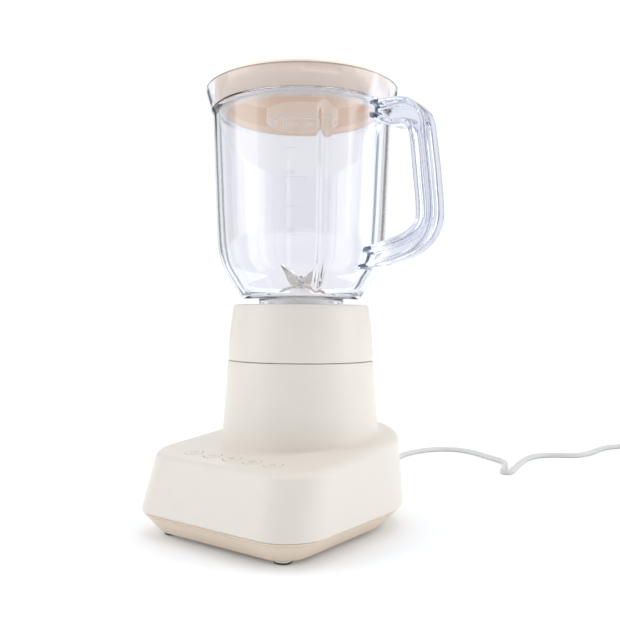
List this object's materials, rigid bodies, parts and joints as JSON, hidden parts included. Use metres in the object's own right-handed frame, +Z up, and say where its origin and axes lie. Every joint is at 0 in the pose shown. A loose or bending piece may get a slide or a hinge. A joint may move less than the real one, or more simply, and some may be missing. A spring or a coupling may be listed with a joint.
{
  "type": "countertop blender",
  "caption": "Countertop blender: clear jar with a side grip on a screw-on blade collar, motor tower base with a sloping button panel, lid with filler cap, mains lead.",
  "frame": {"origin": "middle of the footprint box of the appliance, grip included and lead left out, at table level; the drive axis stands at x = -18.178 mm, y = +13 mm", "axes": "+Z up along the drive axis, -Y towards the button panel, +X towards the jar's grip"},
  "size_m": [0.3145, 0.5952, 0.3212],
  "materials": {
    "shell_plastic": "satin cream moulding",
    "button_plastic": "satin cream moulding with a pale grey symbol",
    "trim_plastic": "fine matt beige moulding",
    "jar_clear": "clear, polished",
    "stainless_steel": "ground",
    "bearing_steel": "polished",
    "steel_fastener": "zinc plated",
    "lamination_steel": "stacked laminations, varnished",
    "armature": "laminations and varnished windings",
    "copper_winding": "enamelled copper wire",
    "commutator_copper": "turned copper segments",
    "cast_aluminium": "as cast",
    "brass": "turned",
    "carbon": "pressed carbon",
    "rubber": "matt",
    "gasket_silicone": "soft matt",
    "dark_plastic": "fine matt",
    "hub_plastic": "fine matt",
    "circuit_board": "solder mask",
    "relay_plastic": "moulded",
    "cord_pvc": "soft flexible plastic"
  },
  "bodies": {
    "base": {"base_housing": "shell_plastic", "bottom_plate": "trim_plastic", "rubber_feet": "rubber", "housing_screws": "steel_fastener", "motor_stator": "lamination_steel", "field_coils": "copper_winding", "motor_top_bracket": "cast_aluminium", "motor_lower_bracket": "cast_aluminium", "motor_bolts": "steel_fastener", "motor_dampers": "rubber", "damper_screws": "steel_fastener", "upper_bearing": "bearing_steel", "lower_bearing": "bearing_steel", "brush_holders": "brass", "carbon_brushes": "carbon", "control_board": "circuit_board", "board_screws": "steel_fastener", "tact_switches": "dark_plastic", "power_relays": "relay_plastic", "interlock_switch": "dark_plastic", "cord_bushing": "cord_pvc", "cord_clamp": "trim_plastic", "terminal_block": "relay_plastic", "power_cord": "cord_pvc", "cord_coil": "cord_pvc", "plug_body": "cord_pvc", "plug_pins": "brass"},
    "rotor": {"motor_shaft": "bearing_steel", "armature": "armature", "commutator": "commutator_copper", "cooling_fan": "dark_plastic", "drive_coupling": "dark_plastic", "coupling_nut": "steel_fastener"},
    "interlock": {"interlock_pin": "dark_plastic"},
    "blade_unit": {"blade_collar": "shell_plastic", "blade_hub": "hub_plastic", "shaft_bushings": "brass", "shaft_seal": "rubber", "jar_gasket": "gasket_silicone"},
    "blades": {"blade_shaft": "stainless_steel", "driven_coupling": "dark_plastic", "lower_blade": "stainless_steel", "upper_blade": "stainless_steel", "blade_washers": "stainless_steel", "blade_nut": "stainless_steel"},
    "jar": {"jar_vessel": "jar_clear", "jar_handle": "jar_clear"},
    "lid": {"lid": "trim_plastic", "lid_insert": "trim_plastic", "lid_gasket": "gasket_silicone"},
    "cap": {"filler_cap": "trim_plastic"},
    "button_1": {"button_1": "button_plastic"},
    "button_2": {"button_2": "button_plastic"},
    "button_3": {"button_3": "button_plastic"},
    "button_4": {"button_4": "button_plastic"},
    "button_5": {"button_5": "button_plastic"}
  },
  "joints": [
    {"name": "motor_spin", "type": "hinge", "parent": "base", "child": "rotor", "pos_m": [-0.01818, 0.013, 0.08], "axis": [0, 0, 1], "continuous": true},
    {"name": "jar_lift", "type": "slide", "parent": "base", "child": "blade_unit", "axis": [0, 0, 1], "range_m": [0, 0.12]},
    {"name": "blade_spin", "type": "hinge", "parent": "blade_unit", "child": "blades", "pos_m": [-0.01818, 0.013, 0.16], "axis": [0, 0, 1], "continuous": true},
    {"name": "jar_twist", "type": "hinge", "parent": "blade_unit", "child": "jar", "pos_m": [-0.01818, 0.013, 0.155], "axis": [0, 0, 1], "range_deg": [0, 40]},
    {"name": "lid_lift", "type": "slide", "parent": "jar", "child": "lid", "axis": [0, 0, 1], "range_m": [0, 0.06]},
    {"name": "cap_lift", "type": "slide", "parent": "lid", "child": "cap", "axis": [0, 0, 1], "range_m": [0, 0.05]},
    {"name": "interlock_press", "type": "slide", "parent": "base", "child": "interlock", "axis": [0, 0, 1], "range_m": [-0.0015, 0], "stiffness_N_per_m": 500},
    {"name": "button_1_press", "type": "slide", "parent": "base", "child": "button_1", "axis": [0, -0.0916, 0.9958], "range_m": [-0.0012, 0], "stiffness_N_per_m": 900},
    {"name": "button_2_press", "type": "slide", "parent": "base", "child": "button_2", "axis": [0, -0.0916, 0.9958], "range_m": [-0.0012, 0], "stiffness_N_per_m": 900},
    {"name": "button_3_press", "type": "slide", "parent": "base", "child": "button_3", "axis": [0, -0.0916, 0.9958], "range_m": [-0.0012, 0], "stiffness_N_per_m": 900},
    {"name": "button_4_press", "type": "slide", "parent": "base", "child": "button_4", "axis": [0, -0.0916, 0.9958], "range_m": [-0.0012, 0], "stiffness_N_per_m": 900},
    {"name": "button_5_press", "type": "slide", "parent": "base", "child": "button_5", "axis": [0, -0.0916, 0.9958], "range_m": [-0.0012, 0], "stiffness_N_per_m": 900}
  ],
  "couplings": [
    {"joint": "blade_spin", "follows": "motor_spin", "ratio": 1}
  ]
}
